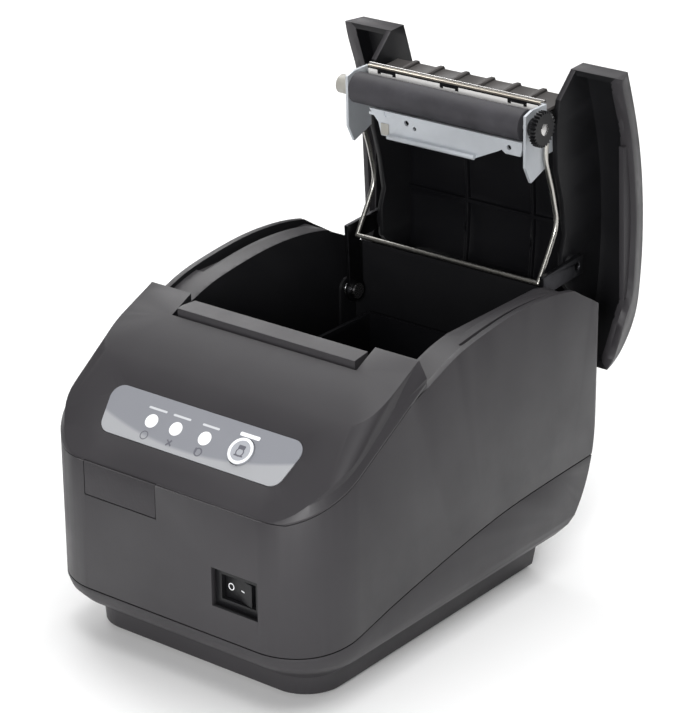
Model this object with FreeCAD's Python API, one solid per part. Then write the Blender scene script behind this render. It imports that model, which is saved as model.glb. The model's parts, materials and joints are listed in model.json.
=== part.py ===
import FreeCAD, Part
import math
import os

# Desktop receipt printer for 80 mm rolls, its cover swung open.
# Frame: X to the right, Y to the rear, Z up, in millimetres.  The origin is on the resting
# plane, under the middle of the body's footprint.  Everything is laid out from the underside
# of the base's plinth and lifted by FOOT_H when it is written.

os.makedirs("parts", exist_ok=True)
V = FreeCAD.Vector

# ---- driving dimensions -----------------------------------------------------------------
BODY_W = 142.0            # width over the housing
BODY_FRONT = -95.0
BODY_REAR = 95.0
WALL = 2.5
CORNER_R = 28.0           # plan radius of the front corners
REAR_R = 4.5
FOOT_H = 1.5
PLINTH_IN_X = 13.0        # plinth set in from the sides
PLINTH_IN_Y = 14.7
SEAM_FRONT_Z = 79.3       # housing to bezel joint at the front
SEAM_RISE = 0.576         # slope of that joint along the sides
SEAM_TOP = (-35.6, 111.8)
TOP_REAR = (-25.6, 126.1)     # rear top edge of the bezel
HORN = (-29.1, 126.3)         # front top edge of the cover's horns, laid out
CREASE = (-59.5, 110.2)       # where the sloped front meets the top face
SLOPE_DEG = 41.7              # front slope
RAIL_IN = 55.5            # half width of the opening between the rails
RAIL_DROP = 2.0
GROOVE_X = 64.8

HINGE = (85.9, 91.413)    # cover hinge axis, along X
SHUT_Y = 3.8              # pieces on the cover, and the mechanism under it, are laid out this
                          # far in front of where they sit with the cover shut
OPEN_DEG = 86.7
COVER_IN = 45.6           # half width of the cover's notch
COVER_X = 70.2
COVER_TOP_X = 67.1
COVER_T = 2.4
NOTCH_Y = -9.0

PLATEN = (-13.2, 89.7)    # platen axis with the cover shut
PLATEN_R = 6.5
PLATEN_HALF = 42.8
SHAFT_R = 2.5
SHAFT_HALF = 51.9
BUSH_R = 4.0
GEAR_MOD = 0.5
RUN = 0.05                # radial clearance of a running fit
GAP = 0.3                 # clearance between parts that move past each other

PANEL_TOP = (-68.8, 101.9)
PANEL_TOP_HALF = 49.0     # half widths of the label plate at its top and bottom edges
PANEL_LOW_HALF = 44.5
PANEL_H = 20.6
LED_X = (-23.1, -10.7, 3.9)
LED_R = 2.9
LED_DOWN = 10.8
FEED_X = 22.3
FEED_R = 5.6
FEED_DOWN = 11.2

BOARD_Z = 5.2             # underside of the main board
PILLARS = [(x, y) for x in (-40.0, 40.0) for y in (-45.2, -2.2)]
POSTS = [(x, y) for x in (-52.0, 52.0) for y in (-46.0, 44.0)]
PORT_Y = 65.4             # rear faces of the sockets

TAB = (-43.0, -6.6, 65.0, 79.0)          # x0, x1, z0, z1 of the release button
SWITCH = (21.0, 43.7, 36.4, 52.7)        # opening for the power switch

ARCH = [(95.7, 110.0), (88.0, 115.0), (80.8, 119.2), (74.0, 123.4), (60.5, 126.0), (47.2, 127.2),
        (34.0, 127.3), (21.1, 126.4), (8.3, 124.9), (-4.4, 122.6), (-14.0, 119.6), (-23.0, 116.2),
        (-33.7, 111.8)]
SKIN = [(97.5, 110.4), (94.9, 117.7), (87.5, 126.9), (78.6, 132.7), (68.6, 135.3),
        (52.8, 137.3), (36.8, 137.9), (20.5, 137.2), (3.9, 135.0), (-13.0, 131.1), HORN]
SPLIT = [(-99.0, 23.0), (-80.0, 24.4), (-55.0, 29.8), (-20.0, 36.3), (24.0, 42.6),
         (56.0, 44.4), (99.0, 45.4)]


# ---- helpers ----------------------------------------------------------------------------
def box(x0, x1, y0, y1, z0, z1):
    return Part.makeBox(x1 - x0, y1 - y0, z1 - z0, V(x0, y0, z0))


def cyl_x(x0, x1, y, z, r):
    return Part.makeCylinder(r, x1 - x0, V(x0, y, z), V(1, 0, 0))


def cyl_y(y0, y1, x, z, r):
    return Part.makeCylinder(r, y1 - y0, V(x, y0, z), V(0, 1, 0))


def cyl_z(z0, z1, x, y, r):
    return Part.makeCylinder(r, z1 - z0, V(x, y, z0), V(0, 0, 1))


def fuse(shapes):
    out = shapes[0]
    if len(shapes) > 1:
        out = out.multiFuse(shapes[1:])
    return out.removeSplitter()


def cut(shape, tools):
    for tool in tools:
        shape = shape.cut(tool)
    return shape


def mirror(shape):
    return shape.mirror(V(0, 0, 0), V(1, 0, 0))


def both(shape):
    return [shape, mirror(shape)]


def line(p, q):
    return Part.makeLine(p, q)


def yz(points, x=0.0):
    return [V(x, p[0], p[1]) for p in points]


def spline(points, x=0.0):
    curve = Part.BSplineCurve()
    curve.interpolate(yz(points, x))
    return curve.toShape()


def prism_x(edges, x0, x1):
    """A closed outline of edges in the plane X = 0, drawn out from x0 to x1."""
    face = Part.Face(Part.Wire(Part.__sortEdges__(edges)))
    face.translate(V(x0, 0, 0))
    return face.extrude(V(x1 - x0, 0, 0))


def poly_x(points, x0, x1):
    pts = yz(points) + yz(points[:1])
    return prism_x([line(a, b) for a, b in zip(pts, pts[1:])], x0, x1)


def poly_z(points, z0, z1):
    pts = [V(p[0], p[1], z0) for p in points + points[:1]]
    return Part.Face(Part.makePolygon(pts)).extrude(V(0, 0, z1 - z0))


def outline(half, front, rear, r, r_rear, z):
    """Plan outline with rounded front corners and smaller rear corners."""
    def corner(cx, cy, rad, a0):
        return Part.ArcOfCircle(Part.Circle(V(cx, cy, z), V(0, 0, 1), rad),
                                math.radians(a0), math.radians(a0 + 90)).toShape()
    edges = [line(V(-half + r, front, z), V(half - r, front, z)),
             corner(half - r, front + r, r, 270),
             line(V(half, front + r, z), V(half, rear - r_rear, z)),
             corner(half - r_rear, rear - r_rear, r_rear, 0),
             line(V(half - r_rear, rear, z), V(-half + r_rear, rear, z)),
             corner(-half + r_rear, rear - r_rear, r_rear, 90),
             line(V(-half, rear - r_rear, z), V(-half, front + r, z)),
             corner(-half + r, front + r, r, 180)]
    return Part.Wire(Part.__sortEdges__(edges))


def plan_prism(inset, z0, z1):
    wire = outline(BODY_W / 2 - inset, BODY_FRONT + inset, BODY_REAR - inset,
                   CORNER_R - inset, max(REAR_R - inset, 1.5), z0)
    return Part.Face(wire).extrude(V(0, 0, z1 - z0))


def loft(wires):
    return Part.makeLoft(wires, True, True)


def inset_curve(points, d):
    """Points of an open outline moved d to the left of its direction of travel."""
    out = []
    for i, p in enumerate(points):
        a = points[max(i - 1, 0)]
        b = points[min(i + 1, len(points) - 1)]
        n = math.hypot(b[0] - a[0], b[1] - a[1])
        out.append((p[0] - (b[1] - a[1]) / n * d, p[1] + (b[0] - a[0]) / n * d))
    return out


def turn(shape, centre, degrees):
    """A copy turned about an axis along X through centre (y, z)."""
    out = shape.copy()
    out.rotate(V(0, centre[0], centre[1]), V(1, 0, 0), degrees)
    return out


def shut(shape):
    """A laid-out piece of the mechanism, moved back to its place in the body."""
    out = shape.copy()
    out.translate(V(0, SHUT_Y, 0))
    return out


def opened(shape):
    return turn(shut(shape), HINGE, -OPEN_DEG)


def gear_x(x0, x1, centre, teeth, bore, phase=0.0):
    """Spur gear on an X axis, straight-flanked teeth with backlash; phase in tooth pitches."""
    rp = GEAR_MOD * teeth / 2
    root, tip = rp - 1.2 * GEAR_MOD, rp + 0.95 * GEAR_MOD
    pts = []
    for i in range(teeth):
        mid = 2 * math.pi * (i + phase) / teeth
        pitch = 2 * math.pi / teeth
        for r, off in ((root, -0.30), (tip, -0.12), (tip, 0.12), (root, 0.30)):
            a = mid + off * pitch
            pts.append((centre[0] + r * math.cos(a), centre[1] + r * math.sin(a)))
    return poly_x(pts, x0, x1).cut(cyl_x(x0 - 1, x1 + 1, centre[0], centre[1], bore))


def meet(a, ra, b, rb, side):
    """The point at ra from a and rb from b, on the given side of the line a to b."""
    d = math.hypot(b[0] - a[0], b[1] - a[1])
    k = (ra * ra - rb * rb + d * d) / (2 * d)
    h = math.sqrt(ra * ra - k * k) * side
    ux, uy = (b[0] - a[0]) / d, (b[1] - a[1]) / d
    return (a[0] + k * ux - h * uy, a[1] + k * uy + h * ux)


def phase_to_mesh(centre, teeth, other, other_teeth, other_phase):
    """The phase that puts a gap of this gear on the line to a meshing gear's tooth."""
    there = math.atan2(centre[1] - other[1], centre[0] - other[0])
    tooth = there * other_teeth / (2 * math.pi) - other_phase
    here = (there + math.pi) * teeth / (2 * math.pi)
    return (here + tooth + 0.5) % 1.0


# Work in the plane of the sloped front: distance down the slope, and height off it.
SLOPE = math.radians(SLOPE_DEG)


def on_slope(down, off=0.0):
    """(y, z) of a point that lies down the slope from the panel's top edge, off it by off."""
    return (PANEL_TOP[0] - down * math.cos(SLOPE) - off * math.sin(SLOPE),
            PANEL_TOP[1] - down * math.sin(SLOPE) + off * math.cos(SLOPE))


def slope_disc(x, down, off0, off1, r):
    y, z = on_slope(down, off0)
    axis = V(0, -math.sin(SLOPE), math.cos(SLOPE))
    return Part.makeCylinder(r, off1 - off0, V(x, y, z), axis)


def slope_plate(x0, x1, down0, down1, off0, off1):
    pts = [on_slope(down0, off0), on_slope(down1, off0), on_slope(down1, off1), on_slope(down0, off1)]
    return poly_x(pts, x0, x1)


NODES = {}


def node(name, shapes):
    """Keep a node: one solid, or a group of separate identical or joined solids."""
    NODES[name] = shapes if isinstance(shapes, list) else [shapes]


# ---- base -------------------------------------------------------------------------------
def rear_profile(inset):
    """The body's closed side outline below the housing joint, curved up at the rear."""
    i = inset
    return [line(*yz([(-99, 0 + i), (66.5 - i, 0 + i)])),
            line(*yz([(66.5 - i, 0 + i), (70.5 - i, 14.4 + i)])),
            spline([(70.5 - i, 14.4 + i), (78.4 - i, 22.2 + i * 0.8), (84.6 - i, 31.2 + i * 0.5),
                    (89.9 - i, 45.5), (92.6 - i, 62.0)]),
            line(*yz([(92.6 - i, 62), (-99, 62)])),
            line(*yz([(-99, 62), (-99, 0 + i)]))]


def under_split(drop=0.0):
    pts = [(p[0], p[1] - drop) for p in SPLIT]
    return [spline(pts), line(*yz([pts[-1], (99, -5)])), line(*yz([(99, -5), (-99, -5)])),
            line(*yz([(-99, -5), pts[0]]))]


def base_block(inset, drop=0.0):
    half = BODY_W / 2
    sections = ((0.0, PLINTH_IN_X), (7.5, PLINTH_IN_X - 0.4), (11.0, 9.5), (14.5, 4.4), (18.5, 1.1), (22.0, 0.0))
    wires = []
    for z, flare in sections:
        f = flare + inset
        wires.append(outline(half - f, BODY_FRONT + f * PLINTH_IN_Y / PLINTH_IN_X, BODY_REAR - inset,
                             max(CORNER_R - f * 0.9, 4), max(REAR_R - inset, 1.5), z))
    low = loft(wires)
    top = plan_prism(inset, 22.0, 60.0)
    body = low.fuse(top).removeSplitter()
    return body.common(prism_x(rear_profile(inset), -80, 80)).common(prism_x(under_split(drop), -80, 80))


PORT_WINDOW = box(-45.2, 46.2, PORT_Y - 2.8, 75, 2.6, 12.2)


def base_shell():
    shell = base_block(0.0)
    hollow = base_block(WALL, -30).common(box(-80, 80, -95, 100, WALL, 70))
    shell = shell.cut(hollow)
    posts = [cyl_z(2.0, BOARD_Z, x, y, 3.2) for x, y in POSTS]
    pillars = [cyl_z(2.0, 61.0, x, y, 3.6) for x, y in PILLARS]
    shell = fuse([shell] + posts + pillars)
    vents = [box(x, x + 2.2, -30, 30, -1, 4) for x in range(-34, 36, 8)]
    holes = [cyl_z(2.6, 9, x, y, 1.15) for x, y in POSTS] + [cyl_z(53, 62, x, y, 1.25) for x, y in PILLARS]
    return cut(shell, [PORT_WINDOW] + vents + holes)


FEET_AT = [(x, y) for x in (-46.0, 46.0) for y in (-68.0, 56.0)]


def feet():
    return [cyl_z(-FOOT_H, 0.0, x, y, 6.0) for x, y in FEET_AT]


# ---- housing ----------------------------------------------------------------------------
def arch_curve(drop=0.0):
    return [(p[0], p[1] - drop) for p in ARCH]


def seam_points(rise=0.0):
    """Joint between housing and bezel, from its top at the side down to the front."""
    return [(SEAM_TOP[0], SEAM_TOP[1] + rise), (-92.0, SEAM_FRONT_Z + rise), (-99.0, SEAM_FRONT_Z + rise)]


def housing_outline(drop, rear_in, bottom):
    """Side outline of the housing, its top lowered by drop and its rear moved in by rear_in."""
    arch = arch_curve(drop)
    arch[0] = (arch[0][0] - rear_in, arch[0][1])
    arch[-1] = (SEAM_TOP[0], SEAM_TOP[1] - drop)
    seam = seam_points(-drop)
    rear = [(89.9 - rear_in, 45.5), (92.4 - rear_in, 60.0), (94.0 - rear_in, 80.0), arch[0]]
    edges = [spline(arch[3:]), line(*yz([arch[2], arch[3]])), spline(arch[:3])]
    edges += [line(*yz([a, b])) for a, b in zip(seam, seam[1:])]
    edges += [line(*yz([seam[-1], (-99, bottom)])), line(*yz([(-99, bottom), (89.9 - rear_in, bottom)]))]
    if bottom < 45.5:
        edges.append(line(*yz([(89.9 - rear_in, bottom), rear[0]])))
        edges.append(spline(rear))
    else:
        edges.append(line(*yz([(89.9 - rear_in, bottom), arch[0]])))
    return edges


def above_split():
    pts = list(SPLIT)
    return [spline(pts), line(*yz([pts[-1], (99, 170)])), line(*yz([(99, 170), (-99, 170)])),
            line(*yz([(-99, 170), pts[0]]))]


def seam_groove():
    """Shadow lines round the outside, along the joints to the base and to the bezel."""
    ring = plan_prism(-1.0, 10, 140).cut(plan_prism(0.7, 5, 145))
    low = [(p[0], p[1] + 0.5) for p in SPLIT]
    band = [spline(SPLIT), spline(low), line(*yz([SPLIT[0], low[0]])), line(*yz([SPLIT[-1], low[-1]]))]
    seam = seam_points()
    top = poly_x(seam + [(p[0], p[1] - 0.45) for p in seam[::-1]], -80, 80)
    return ring.common(prism_x(band, -80, 80)).fuse(ring.common(top))


def hinge_lug():
    """Block on the right rail's inner wall that carries a hinge pin."""
    lug = cyl_x(RAIL_IN - 1.2, RAIL_IN + 1.0, HINGE[0], HINGE[1], 5.0)
    web = box(RAIL_IN - 1.2, RAIL_IN + 1.0, HINGE[0] - 5, HINGE[0] + 5, HINGE[1] - 24, HINGE[1])
    return lug.fuse(web)


def tab_lugs():
    """Two ears behind the front wall that hold the release button's pivots."""
    ears = []
    for x0 in (TAB[0] - 3.6, TAB[1] + 1.4):
        ears.append(box(x0, x0 + 2.2, -92.6, -87.0, 73.0, 79.0))
    return ears


def housing():
    outer = plan_prism(0.0, 10, 140).common(prism_x(housing_outline(0, 0, 15), -80, 80))
    outer = outer.common(prism_x(above_split(), -80, 80))
    inner = plan_prism(WALL, 0, 140).common(prism_x(housing_outline(-40, WALL, 5), -80, 80))
    shell = cut(outer, [inner, seam_groove()])
    # Rails: a deck under the arch on each side, with an inner wall that hangs from it.
    deck_zone = box(RAIL_IN, 70, -34.5, 93.0, 60, 140)
    arch_low = prism_x(housing_outline(RAIL_DROP, 1.0, 50), -80, 80)
    arch_under = prism_x(housing_outline(RAIL_DROP + WALL, -20.0, 40), -80, 80)
    deck = deck_zone.common(arch_low).cut(arch_under)
    wall = box(RAIL_IN, RAIL_IN + 2.2, -34.5, 93.0, 64, 140).common(arch_low)
    groove = box(GROOVE_X, 68.5, 3.0, 77.0, 121.4, 140)
    gutter = box(GROOVE_X - 1.5, 69.5, 1.5, 78.5, 119.2, 121.4)
    seat = deck.fuse(gutter.common(arch_low)).fuse(wall).cut(groove)
    right = [seat, hinge_lug()]
    # The right-hand rail steps down along its inner half.
    step = box(RAIL_IN - 1, 61.0, 7.0, 70.0, 122.9, 140)
    shell = fuse([shell] + [right[0].cut(step), right[1]] + [mirror(s) for s in right] + tab_lugs())
    tab = box(TAB[0] - 0.35, TAB[1] + 0.35, -96, -92.4, TAB[2] - 0.5, 80)
    hole = box(SWITCH[0], SWITCH[1], -96, -92, SWITCH[2], SWITCH[3])
    pins = [cyl_x(s * 60 - 8, s * 60 + 8, HINGE[0], HINGE[1], 2.0) for s in (-1, 1)]
    pivots = [cyl_x(TAB[0] - 5, TAB[0] - 0.5, -90.0, 76.4, 1.25), cyl_x(TAB[1] + 0.5, TAB[1] + 5, -90.0, 76.4, 1.25)]
    return cut(shell, [tab, hole] + pins + pivots)


# ---- front bezel ------------------------------------------------------------------------
def below_top_plane(drop):
    """Everything under the bezel's top face, lowered by drop."""
    (y0, z0), (y1, z1) = CREASE, TOP_REAR
    k = (z1 - z0) / (y1 - y0)
    far = (-110.0, z1 - drop + k * (-110.0 - y1))
    near = (-10.0, z1 - drop + k * (-10.0 - y1))
    return poly_x([far, near, (-10, 20), (-110, 20)], -80, 80)


def below_slope(drop):
    """Everything under the plane of the sloped front."""
    a, b = on_slope(40, -drop), on_slope(-60, -drop)
    return poly_x([a, b, (b[0] + 40, b[1]), (b[0] + 40, 20), (a[0], 20)], -80, 80)


def bezel_body(inset):
    """Front body: the housing's plan set in a little, cut by the slope and the top face.

    Its upper corners lean back with the slope and get rounder towards the top.
    """
    a = on_slope(0, -inset * 1.0)
    z_low, z_high = 70.0, 132.0
    def front_at(z):
        return a[0] + (z - a[1]) / math.tan(SLOPE)
    low = outline(72.0 - inset, front_at(z_low), 20, 1.5, 1.0, z_low)
    high = outline(66.7 - inset, front_at(z_high), 20, 10.5, 1.0, z_high)
    body = loft([low, high]).common(below_top_plane(inset)).common(plan_prism(1.7 + inset, 60, 140))
    return body.common(box(-80, 80, -120, -25.6, 60, 150))


def seam_cut(rise):
    pts = seam_points(rise) + [(-99, 170), (-20, 170), (-20, SEAM_TOP[1] + rise)]
    return poly_x(pts, -80, 80)


def bezel_skirt():
    """Chamfered ledge that follows the joint round the corners and up the sides."""
    low = outline(BODY_W / 2, BODY_FRONT, -25.6, CORNER_R, 1.0, -0.4)
    rim = outline(BODY_W / 2, BODY_FRONT, -25.6, CORNER_R, 1.0, 0.7)
    high = outline(BODY_W / 2 - 2.4, BODY_FRONT + 1.5, -25.6, CORNER_R - 2, 1.0, 4.2)
    ring = loft([low, rim]).fuse(loft([rim, high])).removeSplitter()
    shear = FreeCAD.Matrix()
    shear.A32 = SEAM_RISE
    shear.A34 = SEAM_FRONT_Z + 92.0 * SEAM_RISE
    return ring.transformGeometry(shear).common(below_slope(0.0))


def bezel_shoulder():
    """Chamfered end of the bezel's side, where it meets the cover's horn."""
    rear = [(60, 100), (71, 100), (71, 119.5), (67.2, 126.3), (60, 126.3)]
    front = [(60, 100), (68.6, 100), (68.6, 111.0), (66.0, 118.0), (60, 118.0)]
    wires = []
    for pts, y in ((front, -43.5), (rear, -25.6)):
        wires.append(Part.makePolygon([V(x, y, z) for x, z in pts + pts[:1]]))
    return loft(wires).common(below_top_plane(0.0))


def label_plate(grow, off0, off1):
    """Round-cornered plate on the slope, wider at its top edge than at the bottom."""
    top, low = PANEL_TOP_HALF + grow, PANEL_LOW_HALF + grow
    corners = [(-top, -grow), (top, -grow), (low, PANEL_H + grow), (-low, PANEL_H + grow)]
    pts = [V(x, *on_slope(down, off0)) for x, down in corners]
    normal = V(0, -math.sin(SLOPE), math.cos(SLOPE)) * (off1 - off0)
    plate = Part.Face(Part.makePolygon(pts + pts[:1])).extrude(normal)
    ends = [e for e in plate.Edges if abs(e.Length - (off1 - off0)) < 0.001]
    return plate.makeFillet(5.5 + grow, ends)


TEAR_Y = (-37.4, -27.7)


def front_bezel():
    outer = fuse([bezel_body(0.0), bezel_skirt()] + both(bezel_shoulder())).common(seam_cut(0.0))
    outer = outer.common(below_slope(0.0))
    inner = bezel_body(2.4).common(box(-80, 80, -100, -28.0, 0, 200)).common(below_slope(2.4))
    shell = outer.cut(inner)
    side_wall = prism_x(housing_outline(-0.05, 0, 50), -80, 80).common(box(-80, 80, -36.4, -20, 60, 140))
    notch = box(-46.4, 46.4, TEAR_Y[0], -20, 90, 140)
    exit_clear = box(-49.5, 49.5, -29.0, -20, 60, 119)
    label = label_plate(0.2, -0.5, 2.0)
    holes = [slope_disc(x, LED_DOWN, -6, 2, LED_R + 0.1) for x in LED_X]
    holes.append(slope_disc(FEED_X, FEED_DOWN, -6, 2, FEED_R + GAP))
    return cut(shell, [side_wall, notch, exit_clear, label] + holes)


def status_panel():
    """Rounded label plate let into the sloped front."""
    plate = label_plate(0.0, -0.5, 0.15)
    holes = [slope_disc(x, LED_DOWN, -6, 2, LED_R + 0.05) for x in LED_X]
    holes.append(slope_disc(FEED_X, FEED_DOWN, -6, 2, FEED_R + GAP))
    return cut(plate, holes)


def led_lenses():
    return [slope_disc(x, LED_DOWN, -5.2, 0.3, LED_R) for x in LED_X]


def feed_button():
    cap = slope_disc(FEED_X, FEED_DOWN, -2.8, 0.9, FEED_R)
    flange = slope_disc(FEED_X, FEED_DOWN, -4.4, -3.2, FEED_R + 1.2)
    neck = slope_disc(FEED_X, FEED_DOWN, -3.3, -2.7, FEED_R)
    return fuse([cap, neck, flange])


def panel_board():
    board = slope_plate(-36, 34, 2, 19, -8.4, -6.8)
    chips = [slope_plate(x - 2.0, x + 2.0, LED_DOWN - 2, LED_DOWN + 2, -6.8, -5.6) for x in LED_X]
    tact = slope_plate(FEED_X - 3, FEED_X + 3, FEED_DOWN - 3, FEED_DOWN + 3, -6.8, -5.6)
    return fuse([board, tact] + chips)


def tear_plate():
    """Cutter cover plate: proud of the bezel's notch, its rear edge the tear edge."""
    top = [(-36.1, 123.4), (TEAR_Y[1], 124.6), (TEAR_Y[1], 123.2), (-31.0, 120.0), (-31.0, 112.0),
           (-32.6, 112.0), (-32.6, 119.2), (-36.1, 119.2)]
    plate = poly_x(top, -44.6, 44.6)
    return plate.cut(poly_z([(-44.8, -33.5), (-42.2, -27.0), (-46, -27.0)], 100, 130))


# ---- cover release button ---------------------------------------------------------------
TAB_PIVOT = (-90.0, 76.4)


def release_button():
    """Flap flush with the front wall, hung on two pivots near its top edge."""
    flap = box(TAB[0], TAB[1], -95.0, -92.5, TAB[2], TAB[3])
    rib = box(TAB[0] + 2, TAB[1] - 2, -92.6, -88.6, 74.6, 78.2)
    rod = cyl_x(TAB[0] - 3.2, TAB[1] + 3.2, TAB_PIVOT[0], TAB_PIVOT[1], 1.2)
    return fuse([flap, rib, rod])


# ---- power switch -----------------------------------------------------------------------
SW_X = (SWITCH[0] + SWITCH[1]) / 2
SW_Z = (SWITCH[2] + SWITCH[3]) / 2
ROCKER_AXIS = (SW_X, -88.6)


def switch_body():
    flange = box(SWITCH[0] - 1.2, SWITCH[1] + 1.2, -92.4, -90.4, SWITCH[2] - 1.2, SWITCH[3] + 1.2)
    case = box(SW_X - 9.4, SW_X + 9.4, -90.4, -78.0, SW_Z - 6.3, SW_Z + 6.3)
    tabs = [box(SW_X + x - 2.4, SW_X + x + 2.4, -78.5, -71.5, SW_Z - 0.4, SW_Z + 0.4) for x in (-5, 5)]
    well = box(SW_X - 8.4, SW_X + 8.4, -94, -83.2, SW_Z - 5.2, SW_Z + 5.2)
    pin = cyl_z(SW_Z - 6.0, SW_Z - 4.0, ROCKER_AXIS[0], ROCKER_AXIS[1], 1.0)
    pin_top = cyl_z(SW_Z + 4.0, SW_Z + 6.0, ROCKER_AXIS[0], ROCKER_AXIS[1], 1.0)
    return fuse([cut(fuse([flange, case] + tabs), [well]), pin, pin_top])


def switch_rocker():
    """Shallow V seen from above; at rest its left half is pressed in."""
    x, y = ROCKER_AXIS
    vee = [(x - 7.4, y - 3.2), (x, y - 2.3), (x + 7.4, y - 3.2), (x + 6.2, y + 2.4), (x - 6.2, y + 2.4)]
    body = poly_z(vee, SW_Z - 4.9, SW_Z + 4.9)
    body = body.cut(cyl_z(SW_Z - 7, SW_Z + 7, x, y, 1.0 + RUN))
    body.rotate(V(x, y, 0), V(0, 0, 1), -9.0)
    return body


# ---- print mechanism --------------------------------------------------------------------
SIDE = (46.3, 47.3)            # side plates of the chassis
LATCH = (47.6, 48.4)           # latch plates, just outside them
GEARS = (49.0, 51.4)           # plane of the feed gears
ROD = (-36.5, 84.0)            # latch cross rod
HEAD_PIVOT = (-23.4, 72.0)
MOTOR = (-30.0, 47.0)

T_PINION, T_IDLER, T_DRIVE, T_PLATEN = 20, 44, 30, 28
IDLER = (MOTOR[0] + 16 * math.sin(0.14), MOTOR[1] + 16 * math.cos(0.14))
DRIVE = meet(IDLER, GEAR_MOD * (T_IDLER + T_DRIVE) / 2, PLATEN, 15.85, -1)


def side_plate():
    pts = [(-53, 61), (-1.5, 61), (-1.5, 84), (-6, 95), (-16, 96), (-28, 96), (-53, 92)]
    plate = poly_x(pts, SIDE[0], SIDE[1])
    r = BUSH_R + GAP
    slot = poly_x([(PLATEN[0] - r, PLATEN[1]), (PLATEN[0] + r, PLATEN[1]), (PLATEN[0] + r + 1.8, 99),
                   (PLATEN[0] - r - 0.6, 99)], 40, 50)
    holes = [cyl_x(40, 50, ROD[0], ROD[1], 2.0 + RUN), cyl_x(40, 50, HEAD_PIVOT[0], HEAD_PIVOT[1], 1.5 + RUN)]
    return cut(plate, [slot, cyl_x(40, 50, PLATEN[0], PLATEN[1], r)] + holes)


def chassis():
    """Folded sheet frame: floor, two slotted side plates and a spring brace."""
    floor = box(-SIDE[1], SIDE[1], -53, -1.5, 61, 62.2)
    brace = box(-SIDE[1], SIDE[1], -32.2, -31.0, 62, 90)
    lobe = poly_x([(-46, 33), (-14, 33), (-10, 40), (-10, 61.5), (-50, 61.5), (-50, 40)], SIDE[0], SIDE[1])
    front = box(-SIDE[1], SIDE[1], -53, -51.8, 62, 70)
    plate = fuse([floor, brace, lobe, front] + both(side_plate()))
    holes = [cyl_z(60, 64, x, y - SHUT_Y, 1.6) for x, y in PILLARS]
    holes += [cyl_x(45, 48, MOTOR[0], MOTOR[1], 3.6)]
    holes += [cyl_x(45, 48, c[0], c[1], 1.5) for c in (IDLER, DRIVE)]
    notch = box(-30, -20, -54, -51, 64, 71)
    arch = box(-47.35, 47.35, -53.1, -51.7, 61.9, 61.9 + 8.2).common(box(-4, 16, -60, -50, 60, 75))
    return cut(plate, holes + [notch, arch])


def feed_motor():
    can = cyl_x(27.0, 46.1, MOTOR[0], MOTOR[1], 12.6)
    ears = box(44.9, 46.1, MOTOR[0] - 17, MOTOR[0] + 17, MOTOR[1] - 3, MOTOR[1] + 3)
    boss = cyl_x(46.0, 47.0, MOTOR[0], MOTOR[1], 3.4)
    body = fuse([can, ears, boss])
    return body.cut(cyl_x(30, 50, MOTOR[0], MOTOR[1], 1.0 + RUN))


P_IDLER = phase_to_mesh(IDLER, T_IDLER, MOTOR, T_PINION, 0.0)
P_DRIVE = phase_to_mesh(DRIVE, T_DRIVE, IDLER, T_IDLER, P_IDLER)


def motor_pinion():
    pinion = gear_x(GEARS[0], GEARS[1], MOTOR, T_PINION, 0.9)
    return fuse([pinion, cyl_x(30.5, 51.6, MOTOR[0], MOTOR[1], 1.0)])


def idler_gear():
    return gear_x(GEARS[0], GEARS[1], IDLER, T_IDLER, 1.5 + RUN, P_IDLER)


def drive_gear():
    return gear_x(GEARS[0], GEARS[1], DRIVE, T_DRIVE, 1.5 + RUN, P_DRIVE)


def gear_studs():
    out = []
    for c in (IDLER, DRIVE):
        out.append(fuse([cyl_x(SIDE[0], 52.2, c[0], c[1], 1.5), cyl_x(51.8, 52.6, c[0], c[1], 2.6)]))
    return out


def print_head():
    return box(-41.5, 41.5, -20.9, PLATEN[0] - PLATEN_R - GAP, 74, 95.0)


def head_sink():
    """Aluminium carrier behind the head, pivoted low down on two stub pins."""
    block = box(-43.0, 43.0, -25.9, -20.9, 69.5, 95.2)
    slots = [box(-43, 43, -27, -23.6, z, z + 2.0) for z in (77, 81, 85, 89)]
    stubs = [cyl_x(x, x + 4.2, HEAD_PIVOT[0], HEAD_PIVOT[1], 1.5) for x in (-46.8, 42.6)]
    return fuse([cut(block, slots)] + stubs)


def coil(axis, centre, start, length, r, wire, turns):
    """Helical spring along X, Y or Z."""
    helix = Part.makeHelix(length / turns, length, r)
    section = Part.Wire(Part.makeCircle(wire, V(r, 0, 0), V(0, 1, 0)))
    spring = Part.Wire(helix).makePipeShell([section], True, True)
    if axis == "x":
        spring.rotate(V(0, 0, 0), V(0, 1, 0), 90)
        spring.translate(V(start, centre[0], centre[1]))
    elif axis == "y":
        spring.rotate(V(0, 0, 0), V(1, 0, 0), -90)
        spring.translate(V(centre[0], start, centre[1]))
    else:
        spring.translate(V(centre[0], centre[1], start))
    return spring


def head_springs():
    return [coil("y", (x, 91.9 - 4.0), -30.7, 3.6, 2.4, 0.4, 3) for x in (-24, 24)]


def latch_bail():
    """Cross rod with a hook plate at each end and an arm down to the release button."""
    nose = [(ROD[0] - 4, ROD[1] - 4), (ROD[0] + 4, ROD[1] - 4.5), (-24, 87), (-19.5, 92), (-17.7, 93.2),
            (-17.9, 95.4), (-22, 95.4), (ROD[0] - 3, ROD[1] + 5)]
    plate = poly_x(nose, LATCH[0], LATCH[1])
    rod = cyl_x(-LATCH[1], LATCH[1], ROD[0], ROD[1], 2.0)
    tip = -91.6 - SHUT_Y
    arm = poly_x([(ROD[0], ROD[1] + 2.5), (ROD[0], ROD[1] - 2.5), (tip + 5.6, 66.5), (tip, 66.5), (tip, 70.5),
                  (tip + 5.6, 71.5)], -27, -23)
    return fuse([rod, arm] + both(plate))


def latch_spring():
    return coil("x", ROD, 28.0, 8.0, 2.9, 0.4, 6)


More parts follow.
